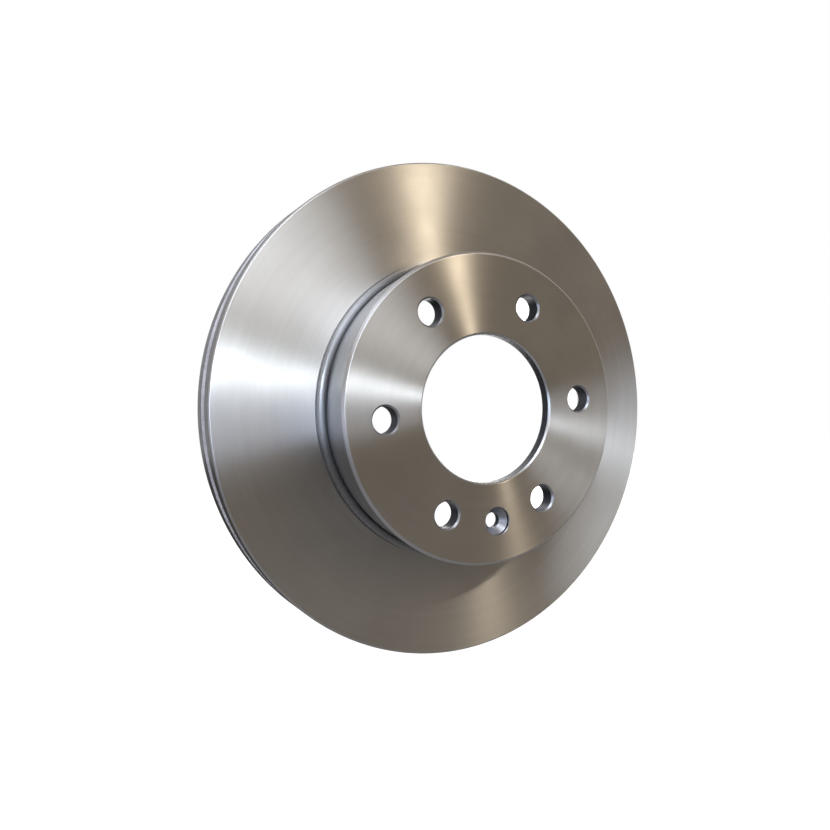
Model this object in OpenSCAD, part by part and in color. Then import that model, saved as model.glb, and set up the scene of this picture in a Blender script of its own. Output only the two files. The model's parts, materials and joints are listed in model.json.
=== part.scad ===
// Vented brake disc for a six-stud hub, one iron casting.
//
// The disc stands upright, as it hangs on the hub. The axle runs along Y, with the
// wheel side towards -Y and +Z up. The origin is on the axle line, in the plane where
// the hat rests on the hub. Inside the modules the disc is built on a Z axis that
// points to the wheel side, and standing() turns it to its place.

/* [Friction ring] */
// Outer diameter of the disc
disc_d = 300; // [260:1:360]
// Thickness over both friction faces
ring_t = 28; // [24:0.5:36]
// Thickness of each friction plate
plate_t = 9.5; // [6:0.5:10]
// Chamfer on the outer edges of the friction faces
rim_chamfer = 1; // [0.5:0.1:2]
// Gap in radius between the hat wall and the inner edge of the inboard plate
mouth_gap = 3; // [1:0.5:8]
// Chamfer on the inner edge of the inboard plate
mouth_chamfer = 1.5; // [0.5:0.1:3]

/* [Vent vanes] */
// Number of vanes between the plates
vane_count = 40; // [24:1:54]
// Thickness of a vane
vane_t = 5; // [3:0.5:7]
// Distance from the rim in to the ends of the vanes
vane_setback = 4; // [3:0.5:12]
// Distance from the inboard plate's inner edge out to the start of the vanes
vane_inset = 2; // [0:0.5:8]

/* [Hat] */
// Height of the wheel face above the outboard friction face
hat_h = 38.5; // [30:0.5:60]
// Outer diameter of the hat at the wheel face
hat_d = 179; // [170:0.5:215]
// Thickness of the hat wall at the wheel face
hat_wall = 7.5; // [6.5:0.5:9]
// Thickness of the flange that the hub and the wheel clamp
flange_t = 9.5; // [7:0.5:12]
// Chamfer round the wheel face
hat_chamfer = 1.5; // [0.5:0.1:3]
// Fillet inside the hat, between the flange and the wall
hat_fillet = 4; // [1:0.5:5]
// Radius on the lower inner edge of the hat wall
hat_lip_r = 3; // [1:0.5:4]

/* [Foot of the hat] */
// How far the hat wall leans in towards the axle from the wheel face to its foot
foot_lean = 4.2; // [0:0.1:5]
// Radius from the hat wall out to the friction face
foot_r = 4; // [2:0.5:5]
// How far the foot radius runs out below the friction face
foot_depth = 0.6; // [0.3:0.1:1]

/* [Hub bore] */
// Diameter of the bore that centres the disc on the hub
bore_d = 85; // [60:0.5:90]
// Chamfer on the wheel side of the bore
bore_chamfer = 1; // [0.5:0.1:2]
// Lead-in chamfer on the hub side of the bore
bore_lead = 3; // [1:0.5:4]

/* [Wheel bolt holes] */
// Number of wheel bolt holes
bolt_count = 6; // [4:1:8]
// Diameter of the circle through the bolt hole centres
bolt_pcd = 130; // [125:0.5:138]
// Diameter of a bolt hole
bolt_d = 15; // [12:0.5:18]
// Chamfer on the wheel side of a bolt hole
bolt_chamfer = 1; // [0.3:0.1:1.5]

/* [Retaining screw hole] */
// Diameter of the hole
screw_d = 9; // [6:0.5:10]
// Diameter of the recess for the screw head
recess_d = 16; // [12:0.5:18]
// Depth of the straight part of the recess
recess_depth = 2; // [1:0.5:3]
// Break on the wheel side edge of the recess
recess_edge = 0.4; // [0.2:0.1:0.6]

/* [Hidden] */

// Steps round a full circle, and in each small arc of the outline
$fn = 180;
arc_steps = 6;
// How far a cutter passes the face that it cuts, and how far a vane sinks into a plate
past = 1;
vane_bite = 1;

// Radii
disc_r = disc_d / 2;
hat_r = hat_d / 2;
hat_inner_r = hat_r - hat_wall;
mouth_r = hat_r + mouth_gap;
bore_r = bore_d / 2;

// Heights above the hub face: the wheel face, then both sides of each plate
wheel_z = flange_t;
outboard_z = wheel_z - hat_h;
outboard_back_z = outboard_z - plate_t;
inboard_z = outboard_z - ring_t;
inboard_back_z = inboard_z + plate_t;

// The foot: the angle of the leaning wall, and the centre of the radius below it
lean = atan(foot_lean / (wheel_z - hat_chamfer - outboard_z + foot_depth));
foot_centre_r = hat_r - foot_lean + foot_r * (1 + sin(lean)) / cos(lean);
foot_centre_z = outboard_z - foot_depth + foot_r;

iron = [0.52, 0.50, 0.48];

// Points along an arc from angle a to angle b
function arc(centre, r, a, b) =
    [for (i = [0:arc_steps])
        let (t = a + (b - a) * i / arc_steps)
        centre + r * [cos(t), sin(t)]];

// Outline of the hat and the outboard plate, as radius and height
hat_outline = concat(
    [[bore_r, bore_lead],
     [bore_r, wheel_z - bore_chamfer],
     [bore_r + bore_chamfer, wheel_z],
     [hat_r - hat_chamfer, wheel_z],
     [hat_r, wheel_z - hat_chamfer]],
    arc([foot_centre_r, foot_centre_z], foot_r, 180 - lean, 270),
    [[foot_centre_r + foot_depth, outboard_z],
     [disc_r - rim_chamfer, outboard_z],
     [disc_r, outboard_z - rim_chamfer],
     [disc_r, outboard_back_z]],
    arc([hat_inner_r + hat_lip_r, outboard_back_z + hat_lip_r], hat_lip_r, 270, 180),
    arc([hat_inner_r - hat_fillet, -hat_fillet], hat_fillet, 0, 90),
    [[bore_r + bore_lead, 0]]);

// Outline of the inboard plate
inboard_outline = [
    [mouth_r, inboard_back_z],
    [disc_r, inboard_back_z],
    [disc_r, inboard_z + rim_chamfer],
    [disc_r - rim_chamfer, inboard_z],
    [mouth_r + mouth_chamfer, inboard_z],
    [mouth_r, inboard_z + mouth_chamfer]];

// Turns the disc from its own Z axis to the axle line
module standing() {
    rotate([90, 0, 0]) children();
}

module hat_and_outboard_plate() {
    rotate_extrude() polygon(hat_outline);
}

module inboard_plate() {
    rotate_extrude() polygon(inboard_outline);
}

// One vane, a straight radial rib with round ends
module vane() {
    first_r = mouth_r + vane_inset + vane_t / 2;
    last_r = disc_r - vane_setback - vane_t / 2;
    rib_h = outboard_back_z - inboard_back_z + 2 * vane_bite;
    translate([0, 0, inboard_back_z - vane_bite])
        linear_extrude(rib_h) {
            translate([first_r, -vane_t / 2]) square([last_r - first_r, vane_t]);
            translate([first_r, 0]) circle(d = vane_t, $fn = 24);
            translate([last_r, 0]) circle(d = vane_t, $fn = 24);
        }
}

module vanes() {
    for (i = [0:vane_count - 1])
        rotate(360 / vane_count * i) vane();
}

// Cutter for one wheel bolt hole, with its chamfer on the wheel side
module bolt_hole() {
    translate([0, 0, -past]) cylinder(d = bolt_d, h = flange_t + 2 * past, $fn = 48);
    translate([0, 0, wheel_z - bolt_chamfer])
        cylinder(d1 = bolt_d, d2 = bolt_d + 2 * (bolt_chamfer + past),
                 h = bolt_chamfer + past, $fn = 48);
}

// Cutter for the retaining screw hole, with its recess and the cone for the screw head
module screw_hole() {
    cone_h = (recess_d - screw_d) / 2;
    translate([0, 0, -past]) cylinder(d = screw_d, h = flange_t + 2 * past, $fn = 48);
    translate([0, 0, wheel_z - recess_depth - cone_h])
        cylinder(d1 = screw_d, d2 = recess_d, h = cone_h, $fn = 48);
    translate([0, 0, wheel_z - recess_depth])
        cylinder(d = recess_d, h = recess_depth + past, $fn = 48);
    translate([0, 0, wheel_z - recess_edge])
        cylinder(d1 = recess_d, d2 = recess_d + 2 * (recess_edge + past),
                 h = recess_edge + past, $fn = 48);
}

// The screw hole is straight down, midway between two bolt holes
module flange_holes() {
    for (i = [0:bolt_count - 1])
        rotate(-90 + 360 / bolt_count * (i + 0.5))
            translate([bolt_pcd / 2, 0, 0]) bolt_hole();
    rotate(-90) translate([bolt_pcd / 2, 0, 0]) screw_hole();
}

module brake_disc() {
    color(iron) standing() difference() {
        union() {
            hat_and_outboard_plate();
            inboard_plate();
            vanes();
        }
        flange_holes();
    }
}

brake_disc();
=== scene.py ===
"""Vented brake disc for a six-stud hub, one turned iron casting in a plain white studio.

Everything is in metres in the frame of the solid model: the axle runs along Y with the
wheel side towards -Y, +Z is up, and the origin is on the axle in the plane of the hub face.
"""

import json
import math
from typing import NamedTuple

import bmesh
import bpy
from bpy.props import FloatProperty, FloatVectorProperty, IntProperty, PointerProperty
from bpy.types import Operator, Panel, PropertyGroup
from mathutils import Matrix, Quaternion, Vector


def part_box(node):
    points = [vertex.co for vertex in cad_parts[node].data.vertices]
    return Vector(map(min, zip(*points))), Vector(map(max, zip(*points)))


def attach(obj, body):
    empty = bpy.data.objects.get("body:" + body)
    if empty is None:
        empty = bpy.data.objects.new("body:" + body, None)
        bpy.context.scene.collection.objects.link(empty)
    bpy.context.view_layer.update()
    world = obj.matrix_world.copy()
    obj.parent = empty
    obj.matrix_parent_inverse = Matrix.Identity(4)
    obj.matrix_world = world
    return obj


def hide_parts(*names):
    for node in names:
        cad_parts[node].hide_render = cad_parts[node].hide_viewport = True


bl_info = {
    "name": "Vented Brake Disc",
    "version": (1, 0, 0),
    "blender": (4, 5, 0),
    "location": "3D View > Sidebar > Brake Disc",
    "description": "Builds a turned and vented brake disc round its solid model, with a studio",
    "category": "Add Mesh",
}

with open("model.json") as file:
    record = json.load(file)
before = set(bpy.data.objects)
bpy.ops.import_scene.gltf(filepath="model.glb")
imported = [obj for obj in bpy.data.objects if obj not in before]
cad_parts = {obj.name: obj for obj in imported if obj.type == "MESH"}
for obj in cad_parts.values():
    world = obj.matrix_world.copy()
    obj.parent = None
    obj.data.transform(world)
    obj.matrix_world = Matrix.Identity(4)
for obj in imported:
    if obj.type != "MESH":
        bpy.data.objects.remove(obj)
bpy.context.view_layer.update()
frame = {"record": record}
DISC_LOW, DISC_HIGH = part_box("brake_disc")
MOUNTS = {mount["name"]: mount for mount in frame["record"]["mounts"]}
MM = 0.001

# Steps round the axle, the widest step of a rounded corner, and the flat strip that is
# kept beside one so that the faces next to it stay flat in the light
AXLE_STEPS = 288
CORNER_STEP = math.radians(16)
GUARD = 0.15 * MM
# Steps round a hole and round the edge of the floor
HOLE_STEPS = 96
FLOOR_STEPS = 96
# Edges that turn by more than this stay crisp
CRISP_ANGLE = math.radians(28)
# How far a cutter passes the face that it cuts, and how far a vane sinks into a plate
PAST = 1.0 * MM
VANE_BITE = 0.6 * MM
# How far a vane's casting fillet turns before it meets the plate
FLARE_TURN = math.radians(72)


# ---------------------------------------------------------------- sizes and settings

def length(name, description, default):
    """A length property in metres."""
    return FloatProperty(name=name, description=description, default=default, min=0.0,
                         unit="LENGTH", precision=4)


def factor(name, description, default):
    """A property between nothing and one."""
    return FloatProperty(name=name, description=description, default=default, min=0.0,
                         max=1.0, subtype="FACTOR")


def colour(name, description, default):
    """A linear colour property."""
    return FloatVectorProperty(name=name, description=description, default=default, size=3,
                               min=0.0, max=1.0, subtype="COLOR")


class DiscSizes(PropertyGroup):
    """Sizes of the casting. What the solid model states is taken from it."""

    disc_r: length("Disc radius", "Radius of the friction ring", DISC_HIGH.x)
    wheel_y: FloatProperty(name="Wheel face", description="Place of the wheel face on the axle",
                           default=DISC_LOW.y, unit="LENGTH", precision=4)
    outboard_y: length("Outboard face", "Place of the outboard friction face on the axle",
                       MOUNTS["outboard_friction_face"]["pos_m"][1])
    inboard_y: length("Inboard face", "Place of the inboard friction face on the axle",
                      DISC_HIGH.y)
    plate_t: length("Plate thickness", "Thickness of each friction plate", 9.5 * MM)
    rim_chamfer: length("Rim chamfer", "Chamfer on the outer edge of a friction face", 1.0 * MM)
    mouth_gap: length("Mouth gap", "From the hat wall out to the inboard plate", 3.0 * MM)
    mouth_chamfer: length("Mouth chamfer", "Chamfer inside the inboard plate", 1.5 * MM)
    hat_r: length("Hat radius", "Outer radius of the hat wall", 89.5 * MM)
    hat_wall: length("Hat wall", "Thickness of the hat wall at the wheel face", 7.5 * MM)
    hat_chamfer: length("Hat chamfer", "Chamfer round the wheel face", 1.5 * MM)
    hat_fillet: length("Hat fillet", "Fillet inside the hat, under the flange", 4.0 * MM)
    hat_lip: length("Hat lip", "Radius on the lower inner edge of the hat", 3.0 * MM)
    foot_lean: length("Foot lean", "How far the hat wall leans in from the wheel face down",
                      4.2 * MM)
    foot_r: length("Foot radius", "Radius from the hat wall out to the friction face", 4.0 * MM)
    foot_depth: length("Foot depth", "How far the foot runs out below the friction face",
                       0.6 * MM)
    bore_r: length("Bore radius", "Radius of the bore that centres the disc on the hub",
                   MOUNTS["hub_bore"]["dims"]["r_mm"] * MM)
    bore_chamfer: length("Bore chamfer", "Chamfer on the wheel side of the bore", 1.0 * MM)
    bore_lead: length("Bore lead-in", "Chamfer on the hub side of the bore", 3.0 * MM)
    edge_r: length("Edge rounding", "Radius on every turned edge", 0.2 * MM)


class VaneSizes(PropertyGroup):
    """Sizes of the vanes between the two friction plates."""

    count: IntProperty(name="Vanes", description="Number of vanes", default=40, min=3)
    thickness: length("Thickness", "Thickness of a vane", 5.0 * MM)
    setback: length("Setback", "From the rim in to the end of a vane", 4.0 * MM)
    inset: length("Inset", "From the inboard plate's inner edge to the start of a vane",
                  2.0 * MM)
    flare_r: length("Flare radius", "Casting fillet where a vane meets a plate", 1.7 * MM)
    end_steps: IntProperty(name="End steps", description="Steps round each end of a vane",
                           default=10, min=3)
    flare_steps: IntProperty(name="Flare steps", description="Steps up each fillet",
                             default=4, min=1)


class HoleSizes(PropertyGroup):
    """Sizes of the holes through the flange of the hat."""

    bolt_count: IntProperty(name="Bolts", description="Number of wheel bolt holes",
                            default=MOUNTS["wheel_bolt_holes"]["dims"]["count"], min=3)
    bolt_circle_r: length("Bolt circle radius", "Radius of the circle of bolt holes",
                          MOUNTS["wheel_bolt_holes"]["dims"]["pcd_mm"] / 2 * MM)
    bolt_r: length("Bolt hole radius", "Radius of a wheel bolt hole",
                   MOUNTS["wheel_bolt_holes"]["dims"]["hole_r_mm"] * MM)
    bolt_chamfer: length("Bolt chamfer", "Chamfer on the wheel side of a bolt hole", 1.0 * MM)
    screw_r: length("Screw hole radius", "Radius of the retaining screw hole",
                    MOUNTS["retaining_screw_hole"]["dims"]["r_mm"] * MM)
    recess_r: length("Recess radius", "Radius of the recess for the screw head", 8.0 * MM)
    recess_depth: length("Recess depth", "Depth of the straight part of the recess", 2.0 * MM)
    recess_edge: length("Recess edge", "Break on the edge of the recess", 0.4 * MM)
    back_edge: length("Back edge", "Break on the hub side of every hole", 0.3 * MM)


class IronLook(PropertyGroup):
    """Colours and finish of the iron, with painted shade in the holes and on the rims, and
    painted light inside the hat.
    """

    face_colour: colour("Friction face", "Colour of the friction faces", (0.53, 0.515, 0.495))
    hat_colour: colour("Hat", "Colour of the wheel face and the hub face", (0.455, 0.435, 0.41))
    wall_colour: colour("Walls", "Colour of the hat wall and its foot", (0.43, 0.44, 0.46))
    # Near-black tint: painted shade for the dark inside of the holes; drilled iron itself is
    # much lighter
    bored_painted_shade_colour: colour("Holes", "Colour of the drilled and bored walls", (0.022, 0.024, 0.03))
    sunk_colour: colour("Countersinks", "Colour of the chamfers of the holes",
                        (0.36, 0.37, 0.40))
    edge_colour: colour("Edges", "Colour of the chamfers of the turned faces",
                        (0.56, 0.57, 0.60))
    # Very dark tint: painted shade on the rims, which face away from the lights
    rim_painted_shade_colour: colour("Rims", "Colour of the rims of the friction plates",
                       (0.085, 0.086, 0.088))
    # Pale tint: painted light, so that the inside shows nearly white through the holes; the
    # turned iron is darker
    inside_painted_light_colour: colour("Inside", "Colour of the turned inside of the hat",
                          (0.74, 0.74, 0.74))
    cast_colour: colour("Cast skin", "Colour of the sand-cast vents", (0.62, 0.61, 0.64))
    roughness: factor("Roughness", "Roughness of the turned faces", 0.36)
    bored_roughness: factor("Bored roughness", "Roughness of the holes' smoothest spots", 0.5)
    sunk_roughness: factor("Sunk roughness", "Roughness of the countersinks' smoothest spots",
                           0.3)
    anisotropy: factor("Anisotropy", "How far highlights run across the turning marks", 1.0)
    pitch: length("Pitch", "Distance between turning marks", 0.45 * MM)
    groove: length("Mark depth", "Depth of the turning marks", 0.003 * MM)


class StudioSettings(PropertyGroup):
    """Camera, lights, floor and background."""

    camera_at: FloatVectorProperty(name="Camera", description="Place of the camera", size=3,
                                   default=(-0.2322, -0.3722, 0.0218), subtype="XYZ",
                                   unit="LENGTH")
    camera_aim: FloatVectorProperty(name="Aim", description="Point in the middle of the view",
                                    size=3, default=(-0.0278, 0.0290, -0.0011),
                                    subtype="XYZ", unit="LENGTH")
    camera_roll: FloatProperty(name="Roll", description="Turn of the camera about its view",
                               default=math.radians(-4.77), subtype="ANGLE")
    lens: FloatProperty(name="Lens", description="Focal length", default=32.6, unit="CAMERA")
    floor_drop: length("Floor drop", "How far the floor lies below the axle", 0.75)
    floor_r: length("Floor radius", "Radius of the floor", 6.0)
    room_front: colour("Room, wheel side", "Light of the room on the wheel side",
                       (0.42, 0.36, 0.29))
    room_back: colour("Room, hub side", "Light of the room on the hub side",
                      (0.95, 0.96, 1.0))
    back_strength: FloatProperty(name="Hub side strength", default=1.3, min=0.0,
                                 description="Strength of the hub side's light, against one")
    floor_colour: colour("Floor", "Colour of the floor", (0.25, 0.24, 0.23))


# ---------------------------------------------------------------- outlines and solids

class Corner(NamedTuple):
    """One corner of an outline, and the finish of the face that follows it."""

    r: float
    y: float
    rounding: float
    finish: str


def rounded(corners):
    """Points and finishes of a closed outline, with its corners turned over by arcs."""
    points = []
    for i, corner in enumerate(corners):
        here = Vector((corner.r, corner.y))
        back = Vector(corners[i - 1][:2]) - here
        ahead = Vector(corners[(i + 1) % len(corners)][:2]) - here
        if corner.rounding == 0.0:
            points.append((here, corner.finish))
            continue
        half = back.angle(ahead) / 2
        setback = corner.rounding / math.tan(half)
        middle = back.normalized() + ahead.normalized()
        centre = here + middle.normalized() * (corner.rounding / math.sin(half))
        start = here + back.normalized() * setback
        turn = math.pi - 2 * half
        side = math.copysign(1.0, back.x * ahead.y - back.y * ahead.x)
        steps = max(2, math.ceil(turn / CORNER_STEP))
        guard = min(GUARD, back.length / 4)
        points.append((start + back.normalized() * guard, corners[i - 1].finish))
        for step in range(steps + 1):
            spoke = (start - centre).copy()
            spoke.rotate(Matrix.Rotation(side * turn * step / steps, 2))
            points.append((centre + spoke, corner.finish))
        guard = min(GUARD, (ahead.length - setback) / 2)
        points.append((here + ahead.normalized() * (setback + guard), corner.finish))
    return points


def spun(name, outline, finishes):
    """A closed solid of revolution about the axle, each face with its own finish."""
    mesh = bpy.data.meshes.new(name)
    form = bmesh.new()
    rings = []
    for step in range(AXLE_STEPS):
        angle = 2 * math.pi * step / AXLE_STEPS
        across, up = math.cos(angle), math.sin(angle)
        rings.append([form.verts.new((p.x * across, p.y, p.x * up)) for p, _ in outline])
    order = list(finishes)
    for step, ring in enumerate(rings):
        following = rings[(step + 1) % AXLE_STEPS]
        for i, (_, finish) in enumerate(outline):
            j = (i + 1) % len(outline)
            face = form.faces.new((ring[i], ring[j], following[j], following[i]))
            face.material_index = order.index(finish)
    bmesh.ops.recalc_face_normals(form, faces=form.faces)
    form.to_mesh(mesh)
    form.free()
    for finish in order:
        mesh.materials.append(finishes[finish])
    piece = bpy.data.objects.new(name, mesh)
    bpy.context.scene.collection.objects.link(piece)
    return piece


def hat_outline(s):
    """Outline of the hat and the outboard plate."""
    inner_r = s.hat_r - s.hat_wall
    back_y = s.outboard_y + s.plate_t
    foot_y = s.outboard_y + s.foot_depth
    lean = math.atan2(s.foot_lean, foot_y - s.wheel_y - s.hat_chamfer)
    run_out = s.foot_r * (1 + math.sin(lean)) / math.cos(lean)
    run_out_r = s.hat_r - s.foot_lean + run_out + GUARD
    edge = s.edge_r
    return rounded([
        Corner(s.bore_r + s.bore_lead, 0.0, edge, "bored"),
        Corner(s.bore_r, -s.bore_lead, edge, "bored"),
        Corner(s.bore_r, s.wheel_y + s.bore_chamfer, edge, "edge"),
        Corner(s.bore_r + s.bore_chamfer, s.wheel_y, edge, "hat"),
        Corner(s.hat_r - s.hat_chamfer, s.wheel_y, edge, "edge"),
        Corner(s.hat_r, s.wheel_y + s.hat_chamfer, edge, "wall"),
        Corner(s.hat_r - s.foot_lean, foot_y, s.foot_r, "wall"),
        Corner(run_out_r, foot_y, 0.0, "edge"),
        Corner(run_out_r + s.foot_depth, s.outboard_y, edge, "friction"),
        Corner(s.disc_r - s.rim_chamfer, s.outboard_y, edge, "edge"),
        Corner(s.disc_r, s.outboard_y + s.rim_chamfer, edge, "rim"),
        Corner(s.disc_r, back_y, edge, "cast"),
        Corner(inner_r, back_y, s.hat_lip, "inside"),
        Corner(inner_r, 0.0, s.hat_fillet, "hat"),
    ])


def inboard_outline(s):
    """Outline of the inboard plate."""
    mouth_r = s.hat_r + s.mouth_gap
    back_y = s.inboard_y - s.plate_t
    edge = s.edge_r
    return rounded([
        Corner(mouth_r, back_y, edge, "cast"),
        Corner(s.disc_r, back_y, edge, "rim"),
        Corner(s.disc_r, s.inboard_y - s.rim_chamfer, edge, "edge"),
        Corner(s.disc_r - s.rim_chamfer, s.inboard_y, edge, "friction"),
        Corner(mouth_r + s.mouth_chamfer, s.inboard_y, edge, "edge"),
        Corner(mouth_r, s.inboard_y - s.mouth_chamfer, edge, "inside"),
    ])


def vane(s, v, cast):
    """One vane along +X between the plates, with a casting fillet at each plate."""
    low_y = s.outboard_y + s.plate_t
    high_y = s.inboard_y - s.plate_t
    half_t = v.thickness / 2
    first_x = s.hat_r + s.mouth_gap + v.inset + half_t
    last_x = s.disc_r - v.setback - half_t
    rises = []
    for k in range(v.flare_steps + 1):
        angle = FLARE_TURN * (1 - k / v.flare_steps)
        rises.append((v.flare_r * (1 - math.sin(angle)), v.flare_r * (1 - math.cos(angle))))
    levels = [(low_y - VANE_BITE, rises[0][1])]
    levels += [(low_y + rise, flare) for rise, flare in rises]
    levels += [(high_y - rise, flare) for rise, flare in reversed(rises)]
    levels.append((high_y + VANE_BITE, rises[0][1]))

    form = bmesh.new()
    rings = []
    for y, flare in levels:
        ring = []
        for end_x, first_angle in ((last_x, -90), (first_x, 90)):
            for k in range(v.end_steps + 1):
                angle = math.radians(first_angle + 180 * k / v.end_steps)
                reach = half_t + flare
                ring.append(form.verts.new((end_x + reach * math.cos(angle), y,
                                            reach * math.sin(angle))))
        rings.append(ring)
    for lower, upper in zip(rings, rings[1:]):
        for i, here in enumerate(lower):
            j = (i + 1) % len(lower)
            form.faces.new((here, lower[j], upper[j], upper[i]))
    form.faces.new(rings[0])
    form.faces.new(rings[-1])
    bmesh.ops.recalc_face_normals(form, faces=form.faces)
    mesh = bpy.data.meshes.new("vane")
    form.to_mesh(mesh)
    form.free()
    mesh.materials.append(cast)
    piece = bpy.data.objects.new("vanes", mesh)
    bpy.context.scene.collection.objects.link(piece)
    return piece


class Step(NamedTuple):
    """One step of a hole cutter, and the finish of the band that follows it."""

    r: float
    y: float
    finish: str


def hole_cutter(name, profile, finishes, centre_r):
    """A cutter turned about a line beside the axle, from the hub side to the wheel side."""
    form = bmesh.new()
    rings = []
    for r, y, _ in profile:
        ring = []
        for k in range(HOLE_STEPS):
            angle = 2 * math.pi * k / HOLE_STEPS
            ring.append(form.verts.new((centre_r + r * math.cos(angle), y,
                                        r * math.sin(angle))))
        rings.append(ring)
    order = sorted({step.finish for step in profile})
    for lower, upper, step in zip(rings, rings[1:], profile):
        for i, here in enumerate(lower):
            j = (i + 1) % HOLE_STEPS
            face = form.faces.new((here, lower[j], upper[j], upper[i]))
            face.material_index = order.index(step.finish)
    form.faces.new(rings[0])
    form.faces.new(rings[-1])
    bmesh.ops.recalc_face_normals(form, faces=form.faces)
    mesh = bpy.data.meshes.new(name)
    form.to_mesh(mesh)
    form.free()
    for finish in order:
        mesh.materials.append(finishes[finish])
    piece = bpy.data.objects.new(name, mesh)
    bpy.context.scene.collection.objects.link(piece)
    return piece


def bolt_profile(s, h):
    """Steps of the bolt hole cutter, from the hub side to the wheel side."""
    return [
        Step(h.bolt_r + h.back_edge + PAST, PAST, "bored"),
        Step(h.bolt_r, -h.back_edge, "bored"),
        Step(h.bolt_r, s.wheel_y + h.bolt_chamfer, "countersunk"),
        Step(h.bolt_r + h.bolt_chamfer + PAST, s.wheel_y - PAST, "countersunk"),
    ]


def screw_profile(s, h):
    """Steps of the screw hole cutter: the hole, the cone for the head, and the recess."""
    cone_y = s.wheel_y + h.recess_depth
    return [
        Step(h.screw_r + h.back_edge + PAST, PAST, "bored"),
        Step(h.screw_r, -h.back_edge, "bored"),
        Step(h.screw_r, cone_y + h.recess_r - h.screw_r, "countersunk"),
        Step(h.recess_r, cone_y, "bored"),
        Step(h.recess_r, s.wheel_y + h.recess_edge, "countersunk"),
        Step(h.recess_r + h.recess_edge + PAST, s.wheel_y - PAST, "countersunk"),
    ]


# ---------------------------------------------------------------- nodes

class Bench:
    """Adds the nodes of one tree and wires them up."""

    def __init__(self, tree):
        self.tree = tree
        tree.nodes.clear()

    def add(self, kind, inputs=None, **settings):
        """A node with its settings, then its inputs as values or as other nodes' sockets."""
        node = self.tree.nodes.new(kind)
        for name, value in settings.items():
            setattr(node, name, value)
        for key, value in (inputs or {}).items():
            if isinstance(value, bpy.types.NodeSocket):
                self.tree.links.new(value, node.inputs[key])
            else:
                node.inputs[key].default_value = value
        return node

    def math(self, operation, *values):
        """The result of one arithmetic step."""
        node = self.add("ShaderNodeMath", dict(enumerate(values)), operation=operation)
        return node.outputs[0]

    def ranged(self, value, low, high, to_low, to_high):
        """A value carried from one range to another, and kept inside it."""
        inputs = {"Value": value, "From Min": low, "From Max": high,
                  "To Min": to_low, "To Max": to_high}
        return self.add("ShaderNodeMapRange", inputs).outputs[0]

    def spread(self, noise, to_low, to_high):
        """A noise value, which mostly stays from 0.3 to 0.7, spread over another range."""
        return self.ranged(noise, 0.3, 0.7, to_low, to_high)

    def noise(self, vector, scale, detail=2.0, roughness=0.5):
        """A noise value, with its scale in lumps for each unit of the vector."""
        inputs = {"Vector": vector, "Scale": scale, "Detail": detail, "Roughness": roughness}
        return self.add("ShaderNodeTexNoise", inputs).outputs[0]


def new_group(name, inputs, outputs):
    """An empty shader group with its sockets, and the bench to build it on."""
    tree = bpy.data.node_groups.new(name, "ShaderNodeTree")
    for label, kind in inputs.items():
        tree.interface.new_socket(label, in_out="INPUT", socket_type=kind)
    for label in outputs:
        tree.interface.new_socket(label, in_out="OUTPUT", socket_type="NodeSocketFloat")
    return tree, Bench(tree)


# Turning marks: scale of the streaks against that of the fine rings, how much a streak
# changes round the axle, and its share of the height
STREAK_SCALE = 0.16
STREAK_CHANGE = 2.2
STREAK_HEIGHT = 0.15
# What a streak does to the tone and the roughness of a turned face
STREAK_TONE = (0.96, 1.03)
STREAK_ROUGHNESS = (-0.015, 0.015)
# Haze: the noise values at which it starts and is full, and what it does to a turned face
HAZE_FROM = (0.38, 0.68)
HAZE_TONE = -0.05
HAZE_ROUGHNESS = 0.05
# A quarter turn, which sends a highlight across the turning marks
QUARTER_TURN = 0.25
# Drilled walls: lumps of noise in a metre along X, Y and Z, their height, how much rougher
# they are than the smoothest spot, the size of the haze, and the tone without and with it
DRILL_MARKS = (400.0, 3200.0, 400.0)
DRILL_DEPTH = 0.02 * MM
DRILL_ROUGHNESS = 0.14
DRILL_HAZE = 8.0 * MM
DRILL_TONE = (1.05, 0.82)
# Cast skin: grains and lumps in a metre, their height, how much more a lump rises than a
# grain, the range of tone and roughness, how metallic it is, and the size and the
# lightening of the haze
CAST_GRAINS = 1500.0
CAST_LUMPS = 220.0
CAST_DEPTH = 0.25 * MM
CAST_LUMP_RISE = 2.0
CAST_TONE = (0.7, 1.2)
CAST_ROUGHNESS = (0.68, 0.85)
CAST_METALLIC = 0.35
CAST_HAZE = 20.0 * MM
CAST_HAZE_TONE = 0.35


def turning_marks():
    """Marks of the lathe tool: fine rings of height, and slower streaks of tone."""
    tree, bench = new_group(
        "Turning marks",
        {"Position": "NodeSocketVector", "Pitch": "NodeSocketFloat"},
        ("Height", "Tone"))
    given = bench.add("NodeGroupInput").outputs
    place = bench.add("ShaderNodeSeparateXYZ", {0: given["Position"]}).outputs
    flat = bench.add("ShaderNodeCombineXYZ", {"X": place["X"], "Z": place["Z"]}).outputs[0]
    radius = bench.add("ShaderNodeVectorMath", {0: flat}, operation="LENGTH").outputs["Value"]
    around = bench.add("ShaderNodeVectorMath", {0: flat}, operation="NORMALIZE").outputs[0]
    ring = bench.math("DIVIDE", radius, given["Pitch"])
    depth = bench.math("DIVIDE", place["Y"], given["Pitch"])
    groove_at = bench.add("ShaderNodeCombineXYZ", {"X": ring, "Y": depth}).outputs[0]
    groove = bench.noise(groove_at, scale=1.0, detail=1.0)
    slow_at = bench.add("ShaderNodeVectorMath", {0: groove_at, 1: (STREAK_SCALE,) * 3},
                        operation="MULTIPLY").outputs[0]
    turned = bench.add("ShaderNodeVectorMath", {0: around, 3: STREAK_CHANGE},
                       operation="SCALE").outputs[0]
    streak_at = bench.add("ShaderNodeVectorMath", {0: slow_at, 1: turned}).outputs[0]
    streak = bench.noise(streak_at, scale=1.0, detail=4.0, roughness=0.65)
    height = bench.math("MULTIPLY_ADD", streak, STREAK_HEIGHT, groove)
    bench.add("NodeGroupOutput", {"Height": height, "Tone": streak})
    return tree


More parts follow.
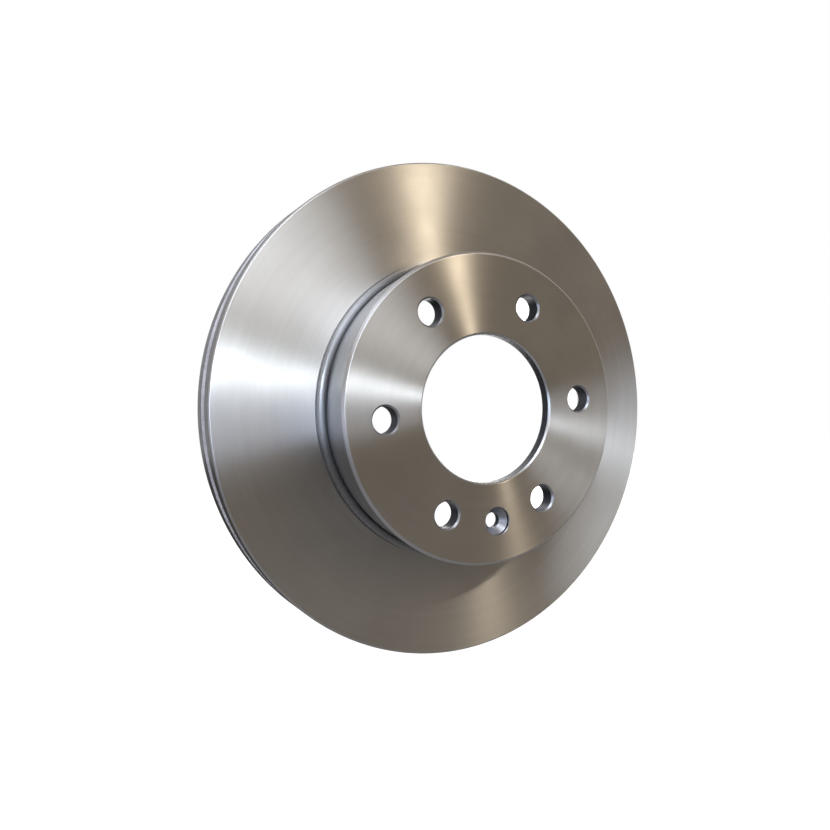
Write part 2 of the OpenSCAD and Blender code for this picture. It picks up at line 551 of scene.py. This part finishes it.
def handling_haze():
    """Soft uneven patches that oil and handling leave on bare iron."""
    tree, bench = new_group(
        "Handling haze",
        {"Position": "NodeSocketVector", "Size": "NodeSocketFloat"},
        ("Amount",))
    given = bench.add("NodeGroupInput").outputs
    scale = bench.math("DIVIDE", 1.0, given["Size"])
    patches = bench.noise(given["Position"], scale, detail=4.0, roughness=0.55)
    bench.add("NodeGroupOutput", {"Amount": bench.ranged(patches, *HAZE_FROM, 0.0, 1.0)})
    return tree


class Finish(NamedTuple):
    """How one kind of machined surface differs from the others."""

    tint: tuple
    roughness: float
    anisotropy: float
    pitch: float
    groove: float
    haze: float


def machined_iron(name, finish, groups):
    """Bare iron with tool marks that run round the axle."""
    material = bpy.data.materials.new(name)
    material.use_nodes = True
    bench = Bench(material.node_tree)
    position = bench.add("ShaderNodeTexCoord").outputs["Object"]
    marks = bench.add("ShaderNodeGroup", {"Position": position, "Pitch": finish.pitch},
                      node_tree=groups["marks"]).outputs
    haze = bench.add("ShaderNodeGroup", {"Position": position, "Size": finish.haze},
                     node_tree=groups["haze"]).outputs["Amount"]
    bright = bench.spread(marks["Tone"], *STREAK_TONE)
    dulled = bench.math("MULTIPLY_ADD", haze, HAZE_TONE, bright)
    tint = bench.add("ShaderNodeVectorMath", {0: finish.tint, 3: dulled},
                     operation="SCALE").outputs[0]
    streaked = bench.spread(marks["Tone"], *STREAK_ROUGHNESS)
    hazed = bench.math("MULTIPLY_ADD", haze, HAZE_ROUGHNESS, streaked)
    rough = bench.math("ADD", hazed, finish.roughness)
    bump = bench.add("ShaderNodeBump", {"Height": marks["Height"], "Distance": finish.groove,
                                        "Strength": 1.0}).outputs[0]
    along = bench.add("ShaderNodeVectorMath", {0: position, 1: (0.0, 1.0, 0.0)},
                      operation="CROSS_PRODUCT").outputs[0]
    shader = bench.add("ShaderNodeBsdfPrincipled", {
        "Base Color": tint, "Metallic": 1.0, "Roughness": rough, "Normal": bump,
        "Anisotropic": finish.anisotropy, "Anisotropic Rotation": QUARTER_TURN,
        "Tangent": along})
    bench.add("ShaderNodeOutputMaterial", {"Surface": shader.outputs[0]})
    return material


def drilled_iron(name, tint, smoothest, groups):
    """Iron cut by a drill or a boring bar, dull and without a run to its highlights."""
    material = bpy.data.materials.new(name)
    material.use_nodes = True
    bench = Bench(material.node_tree)
    position = bench.add("ShaderNodeTexCoord").outputs["Object"]
    stretched = bench.add("ShaderNodeVectorMath", {0: position, 1: DRILL_MARKS},
                          operation="MULTIPLY").outputs[0]
    rings = bench.noise(stretched, scale=1.0)
    haze = bench.add("ShaderNodeGroup", {"Position": position, "Size": DRILL_HAZE},
                     node_tree=groups["haze"]).outputs["Amount"]
    bright = bench.ranged(haze, 0.0, 1.0, *DRILL_TONE)
    shade = bench.add("ShaderNodeVectorMath", {0: tint, 3: bright},
                      operation="SCALE").outputs[0]
    bump = bench.add("ShaderNodeBump", {"Height": rings, "Distance": DRILL_DEPTH}).outputs[0]
    shader = bench.add("ShaderNodeBsdfPrincipled", {
        "Base Color": shade, "Metallic": 1.0, "Normal": bump,
        "Roughness": bench.spread(rings, smoothest, smoothest + DRILL_ROUGHNESS)})
    bench.add("ShaderNodeOutputMaterial", {"Surface": shader.outputs[0]})
    return material


def cast_skin(name, tint, groups):
    """The sand-cast skin inside the vents: dry, pale and grainy."""
    material = bpy.data.materials.new(name)
    material.use_nodes = True
    bench = Bench(material.node_tree)
    position = bench.add("ShaderNodeTexCoord").outputs["Object"]
    grain = bench.noise(position, CAST_GRAINS, detail=4.0, roughness=0.6)
    lumps = bench.noise(position, CAST_LUMPS, detail=3.0)
    haze = bench.add("ShaderNodeGroup", {"Position": position, "Size": CAST_HAZE},
                     node_tree=groups["haze"]).outputs["Amount"]
    height = bench.math("MULTIPLY_ADD", lumps, CAST_LUMP_RISE, grain)
    tone = bench.math("MULTIPLY_ADD", haze, CAST_HAZE_TONE, bench.spread(grain, *CAST_TONE))
    shade = bench.add("ShaderNodeVectorMath", {0: tint, 3: tone},
                      operation="SCALE").outputs[0]
    bump = bench.add("ShaderNodeBump", {"Height": height, "Distance": CAST_DEPTH}).outputs[0]
    shader = bench.add("ShaderNodeBsdfPrincipled", {
        "Base Color": shade, "Metallic": CAST_METALLIC, "Normal": bump,
        "Roughness": bench.spread(lumps, *CAST_ROUGHNESS)})
    bench.add("ShaderNodeOutputMaterial", {"Surface": shader.outputs[0]})
    return material


def iron_finishes(look):
    """Every finish of the casting, by the name that the outlines use."""
    groups = {"marks": turning_marks(), "haze": handling_haze()}
    face, hat, wall = tuple(look.face_colour), tuple(look.hat_colour), tuple(look.wall_colour)
    rough, run, pitch, groove = look.roughness, look.anisotropy, look.pitch, look.groove
    machined = {
        "friction": Finish(face, rough, run, pitch, groove, 45 * MM),
        "hat": Finish(hat, rough * 0.88, run, pitch * 0.8, groove, 30 * MM),
        "wall": Finish(wall, rough * 0.8, run * 0.9, pitch, groove * 1.5, 12 * MM),
        "edge": Finish(tuple(look.edge_colour), rough * 0.9, run * 0.7, pitch * 0.6, groove,
                       12 * MM),
        # The rims get a very dark tint, which is painted shade
        "rim": Finish(tuple(look.rim_painted_shade_colour), rough, run * 0.7, pitch * 1.3, groove * 2,
                      12 * MM),
        # The inside gets a pale tint, which is painted light seen through the holes
        "inside": Finish(tuple(look.inside_painted_light_colour), rough * 1.2, run * 0.5, pitch * 2,
                         groove * 2, 25 * MM),
    }
    finishes = {key: machined_iron(f"iron_{key}", finish, groups)
                for key, finish in machined.items()}
    # The walls of the bore and the holes get a near-black tint, which is painted shade in the
    # holes
    finishes["bored"] = drilled_iron("iron_bored", tuple(look.bored_painted_shade_colour),
                                     look.bored_roughness, groups)
    finishes["countersunk"] = drilled_iron("iron_countersunk", tuple(look.sunk_colour),
                                           look.sunk_roughness, groups)
    finishes["cast"] = cast_skin("iron_cast_skin", tuple(look.cast_colour), groups)
    return finishes


def round_the_axle():
    """Geometry nodes that repeat a shape at even steps round the axle."""
    tree = bpy.data.node_groups.new("Round the axle", "GeometryNodeTree")
    tree.is_modifier = True
    face = tree.interface
    face.new_socket("Geometry", in_out="INPUT", socket_type="NodeSocketGeometry")
    face.new_socket("Count", in_out="INPUT", socket_type="NodeSocketInt")
    face.new_socket("First Angle", in_out="INPUT", socket_type="NodeSocketFloat")
    face.new_socket("Geometry", in_out="OUTPUT", socket_type="NodeSocketGeometry")
    bench = Bench(tree)
    given = bench.add("NodeGroupInput").outputs
    points = bench.add("GeometryNodePoints", {"Count": given["Count"]}).outputs[0]
    index = bench.add("GeometryNodeInputIndex").outputs[0]
    step = bench.math("DIVIDE", 2 * math.pi, given["Count"])
    angle = bench.math("MULTIPLY_ADD", index, step, given["First Angle"])
    turn = bench.add("ShaderNodeCombineXYZ", {"Y": angle}).outputs[0]
    copies = bench.add("GeometryNodeInstanceOnPoints",
                       {"Points": points, "Instance": given["Geometry"], "Rotation": turn})
    real = bench.add("GeometryNodeRealizeInstances", {0: copies.outputs[0]}).outputs[0]
    bench.add("NodeGroupOutput", {"Geometry": real})
    return tree


# ---------------------------------------------------------------- putting solids together

def settle(piece):
    """Turns a piece and its modifiers into a plain mesh."""
    graph = bpy.context.evaluated_depsgraph_get()
    made = bpy.data.meshes.new_from_object(
        piece.evaluated_get(graph), preserve_all_data_layers=True, depsgraph=graph)
    piece.modifiers.clear()
    piece.data = made


def repeat(piece, tree, count, first_angle):
    """Repeats a piece round the axle with the geometry nodes, as one plain mesh."""
    modifier = piece.modifiers.new("Round the axle", "NODES")
    modifier.node_group = tree
    values = {"Count": count, "First Angle": first_angle}
    for socket in tree.interface.items_tree:
        if socket.in_out == "INPUT" and socket.name in values:
            modifier[socket.identifier] = values[socket.name]
    settle(piece)


def combine(piece, others, operation):
    """Joins other solids to a piece, or cuts them from it."""
    for other in others:
        modifier = piece.modifiers.new(other.name, "BOOLEAN")
        modifier.operation = operation
        modifier.solver = "MANIFOLD"
        modifier.material_mode = "TRANSFER"
        modifier.object = other
    settle(piece)
    for other in others:
        bpy.data.objects.remove(other)


def check_closed(piece):
    """Stops the build if the piece isn't one closed surface."""
    form = bmesh.new()
    form.from_mesh(piece.data)
    loose = sum(1 for edge in form.edges if not edge.is_manifold)
    form.free()
    if loose:
        raise RuntimeError(f"{piece.name} has {loose} open edges")


# ---------------------------------------------------------------- operators

class BRAKEDISC_OT_casting(Operator):
    """Build the casting: hat, two friction plates, vanes and holes, in its finishes"""

    bl_idname = "brake_disc.casting"
    bl_label = "Build the casting"

    def execute(self, context):
        s, v, h = (context.scene.disc_sizes, context.scene.vane_sizes,
                   context.scene.hole_sizes)
        finishes = iron_finishes(context.scene.iron_look)
        tree = round_the_axle()
        casting = spun("brake_disc_casting", hat_outline(s), finishes)
        inboard = spun("inboard_plate", inboard_outline(s), finishes)
        vanes = vane(s, v, finishes["cast"])
        repeat(vanes, tree, v.count, 0.0)
        bolts = hole_cutter("bolt_holes", bolt_profile(s, h), finishes, h.bolt_circle_r)
        # The screw hole is straight down, midway between two bolt holes
        down = math.pi / 2
        repeat(bolts, tree, h.bolt_count, down + math.pi / h.bolt_count)
        screw = hole_cutter("screw_hole", screw_profile(s, h), finishes, h.bolt_circle_r)
        repeat(screw, tree, 1, down)
        combine(casting, [inboard, vanes], "UNION")
        combine(casting, [bolts, screw], "DIFFERENCE")
        check_closed(casting)
        casting.data.shade_smooth()
        casting.data.set_sharp_from_angle(angle=CRISP_ANGLE)
        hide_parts("brake_disc")
        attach(casting, "root")
        return {"FINISHED"}


class BRAKEDISC_OT_camera(Operator):
    """Place the camera"""

    bl_idname = "brake_disc.camera"
    bl_label = "Place the camera"

    def execute(self, context):
        studio = context.scene.studio
        camera = bpy.data.objects.new("camera", bpy.data.cameras.new("camera"))
        camera.data.lens = studio.lens
        camera.data.clip_start = 10 * MM
        camera.location = studio.camera_at
        gaze = Vector(studio.camera_aim) - Vector(studio.camera_at)
        roll = Quaternion((0.0, 0.0, 1.0), studio.camera_roll)
        camera.rotation_mode = "QUATERNION"
        camera.rotation_quaternion = gaze.to_track_quat("-Z", "Y") @ roll
        context.scene.collection.objects.link(camera)
        context.scene.camera = camera
        return {"FINISHED"}


class Softbox(NamedTuple):
    """One soft light that faces the origin, with its place and size in metres."""

    name: str
    at: tuple
    size: tuple
    watts: float
    colour: tuple


SOFTBOXES = (
    Softbox("cool_window", (-0.15, -1.50, 0.185), (0.10, 0.10), 5.0, (0.80, 0.89, 1.0)),
    Softbox("side_window", (-0.90, -1.10, 0.0), (0.45, 0.45), 4.2, (0.62, 0.76, 1.0)),
    Softbox("warm_lamp", (0.66, -1.12, 0.75), (0.08, 0.08), 2.7, (1.0, 0.86, 0.66)),
    Softbox("high_diffuser", (-0.38, -1.12, 0.98), (1.0, 1.0), 15.5, (0.86, 0.92, 1.0)),
    Softbox("hub_side_lamp", (0.055, 0.13, 0.0), (0.06, 0.06), 0.14, (1.0, 1.0, 1.0)),
)


# How brightly the floor shows to the camera, from its faint patches to the rest
FLOOR_GLOW = (0.97, 1.0)
# How far a direction leans to +Y where the hub side light starts, and where it is full
HUB_SIDE_FROM = (0.3, 0.55)


class BRAKEDISC_OT_stage(Operator):
    """Lay the floor, set the room's light and hang the softboxes"""

    bl_idname = "brake_disc.stage"
    bl_label = "Set the stage"

    def execute(self, context):
        studio = context.scene.studio
        self.floor(studio)
        self.room(context.scene, studio)
        for box in SOFTBOXES:
            self.softbox(box)
        context.scene.view_settings.view_transform = "Standard"
        return {"FINISHED"}

    def floor(self, studio):
        """A wide pale floor, well below the disc, which hangs on its hub."""
        form = bmesh.new()
        bmesh.ops.create_circle(form, cap_ends=True, segments=FLOOR_STEPS, radius=studio.floor_r,
                                matrix=Matrix.Translation((0.0, 0.0, -studio.floor_drop)))
        mesh = bpy.data.meshes.new("floor")
        form.to_mesh(mesh)
        form.free()
        material = bpy.data.materials.new("pale_floor")
        material.use_nodes = True
        bench = Bench(material.node_tree)
        position = bench.add("ShaderNodeTexCoord").outputs["Object"]
        faint = bench.spread(bench.noise(position, scale=3.0), *FLOOR_GLOW)
        seen = bench.add("ShaderNodeLightPath").outputs["Is Camera Ray"]
        glow = bench.math("MULTIPLY", faint, seen)
        shader = bench.add("ShaderNodeBsdfPrincipled", {
            "Base Color": (*studio.floor_colour, 1.0), "Roughness": 0.8,
            "Emission Color": (1.0, 1.0, 1.0, 1.0), "Emission Strength": glow})
        bench.add("ShaderNodeOutputMaterial", {"Surface": shader.outputs[0]})
        mesh.materials.append(material)
        floor = bpy.data.objects.new("floor", mesh)
        bpy.context.scene.collection.objects.link(floor)
        return floor

    def room(self, scene, studio):
        """The room's light: white to look at, and dimmer on the wheel side of the disc."""
        world = bpy.data.worlds.new("studio_room")
        world.use_nodes = True
        scene.world = world
        bench = Bench(world.node_tree)
        away = bench.add("ShaderNodeTexCoord").outputs["Generated"]
        along = bench.add("ShaderNodeSeparateXYZ", {0: away}).outputs["Y"]
        share = bench.ranged(along, *HUB_SIDE_FROM, 0.0, 1.0)
        mixed = bench.add("ShaderNodeMixRGB", {
            "Fac": share, "Color1": (*studio.room_front, 1.0),
            "Color2": (*studio.room_back, 1.0)}).outputs[0]
        strength = bench.ranged(share, 0.0, 1.0, 1.0, studio.back_strength)
        light = bench.add("ShaderNodeBackground", {"Color": mixed, "Strength": strength})
        seen = bench.add("ShaderNodeBackground", {"Color": (1.0, 1.0, 1.0, 1.0)})
        camera_ray = bench.add("ShaderNodeLightPath").outputs["Is Camera Ray"]
        both = bench.add("ShaderNodeMixShader", {0: camera_ray, 1: light.outputs[0],
                                                 2: seen.outputs[0]})
        bench.add("ShaderNodeOutputWorld", {"Surface": both.outputs[0]})

    def softbox(self, box):
        """One area light that faces the disc and can't be seen itself."""
        light = bpy.data.lights.new(box.name, "AREA")
        light.shape = "RECTANGLE"
        light.size, light.size_y = box.size
        light.energy = box.watts
        light.color = box.colour
        lamp = bpy.data.objects.new(box.name, light)
        lamp.location = box.at
        lamp.rotation_mode = "QUATERNION"
        lamp.rotation_quaternion = (-Vector(box.at)).to_track_quat("-Z", "Y")
        lamp.visible_camera = False
        bpy.context.scene.collection.objects.link(lamp)


class VIEW3D_PT_brake_disc(Panel):
    """The disc's sizes, finishes and studio, with a button for each step"""

    bl_label = "Brake Disc"
    bl_idname = "VIEW3D_PT_brake_disc"
    bl_space_type = "VIEW_3D"
    bl_region_type = "UI"
    bl_category = "Brake Disc"

    def draw(self, context):
        for group in (context.scene.disc_sizes, context.scene.vane_sizes,
                      context.scene.hole_sizes, context.scene.iron_look,
                      context.scene.studio):
            box = self.layout.box()
            for name in group.__annotations__:
                box.prop(group, name)
        for step in STEPS:
            self.layout.operator(step.bl_idname)


GROUPS = {"disc_sizes": DiscSizes, "vane_sizes": VaneSizes, "hole_sizes": HoleSizes,
          "iron_look": IronLook, "studio": StudioSettings}
STEPS = (BRAKEDISC_OT_camera, BRAKEDISC_OT_casting, BRAKEDISC_OT_stage)


def register():
    for group in GROUPS.values():
        bpy.utils.register_class(group)
    for name, group in GROUPS.items():
        setattr(bpy.types.Scene, name, PointerProperty(type=group))
    for step in STEPS:
        bpy.utils.register_class(step)
    bpy.utils.register_class(VIEW3D_PT_brake_disc)


def unregister():
    bpy.utils.unregister_class(VIEW3D_PT_brake_disc)
    for step in reversed(STEPS):
        bpy.utils.unregister_class(step)
    for name in GROUPS:
        delattr(bpy.types.Scene, name)
    for group in reversed(GROUPS.values()):
        bpy.utils.unregister_class(group)


def main():
    register()
    bpy.ops.brake_disc.camera()
    bpy.ops.brake_disc.casting()
    bpy.ops.brake_disc.stage()


if __name__ == "__main__":
    main()
